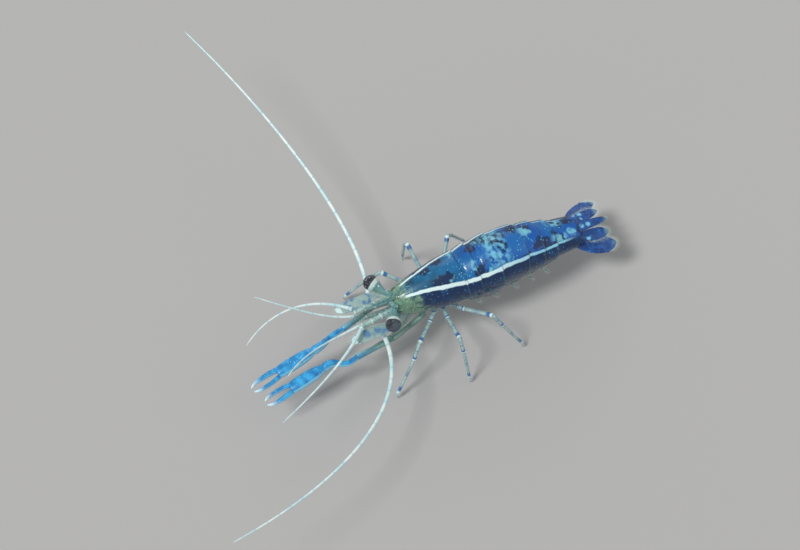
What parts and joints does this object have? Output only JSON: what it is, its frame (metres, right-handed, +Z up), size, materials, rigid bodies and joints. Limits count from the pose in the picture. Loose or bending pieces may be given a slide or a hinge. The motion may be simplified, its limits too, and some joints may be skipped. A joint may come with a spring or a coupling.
{
  "type": "cleaner shrimp",
  "caption": "Life-size cleaner shrimp model standing on its walking legs, with blue claws held forward and long white feelers spread wide.",
  "frame": {"origin": "on the floor, under the middle of the box around the whole animal with its feelers", "axes": "+Z up; the head looks along -Y; the animal's left side is +X"},
  "size_m": [0.0408, 0.038, 0.0108],
  "materials": {
    "clear_shell": "clear, glossy shell with blue spots, white lines and a white saddle",
    "blue_claw": "glossy azure claws and wrists with pale edges, greenish clear arms",
    "clear_limb": "clear, glossy small limbs with blue and white spots",
    "banded_leg": "clear, glossy walking legs with white and blue bands",
    "white_feeler": "white, finely ringed feelers",
    "eye": "dark, glossy, finely faceted eyes with a pale sheen"
  },
  "bodies": {
    "root": {"carapace": "clear_shell", "abdomen_somite_1": "clear_shell", "abdomen_somite_2": "clear_shell", "abdomen_somite_3": "clear_shell", "abdomen_somite_4": "clear_shell", "abdomen_somite_5": "clear_shell", "abdomen_somite_6": "clear_shell", "telson": "clear_shell", "uropod_endopod_left": "clear_shell", "uropod_endopod_right": "clear_shell", "uropod_exopod_left": "clear_shell", "uropod_exopod_right": "clear_shell", "cheliped_arm_left": "blue_claw", "cheliped_arm_right": "blue_claw", "cheliped_claw_left": "blue_claw", "cheliped_claw_right": "blue_claw", "cheliped_finger_left": "blue_claw", "cheliped_finger_right": "blue_claw", "eyestalk_left": "clear_limb", "eyestalk_right": "clear_limb", "antennule_base_left": "clear_limb", "antennule_base_right": "clear_limb", "antenna_base_left": "clear_limb", "antenna_base_right": "clear_limb", "antenna_scale_left": "clear_limb", "antenna_scale_right": "clear_limb", "maxilliped_left": "clear_limb", "maxilliped_right": "clear_limb", "pereiopod_1_left": "clear_limb", "pereiopod_1_right": "clear_limb", "pleopod_1_left": "clear_limb", "pleopod_1_right": "clear_limb", "pleopod_2_left": "clear_limb", "pleopod_2_right": "clear_limb", "pleopod_3_left": "clear_limb", "pleopod_3_right": "clear_limb", "pleopod_4_left": "clear_limb", "pleopod_4_right": "clear_limb", "pleopod_5_left": "clear_limb", "pleopod_5_right": "clear_limb", "walking_leg_3_left": "banded_leg", "walking_leg_3_right": "banded_leg", "walking_leg_4_left": "banded_leg", "walking_leg_4_right": "banded_leg", "walking_leg_5_left": "banded_leg", "walking_leg_5_right": "banded_leg", "antenna_left": "white_feeler", "antenna_right": "white_feeler", "antennule_outer_left": "white_feeler", "antennule_outer_right": "white_feeler", "antennule_inner_left": "white_feeler", "antennule_inner_right": "white_feeler", "eye_left": "eye", "eye_right": "eye"}
  },
  "joints": []
}
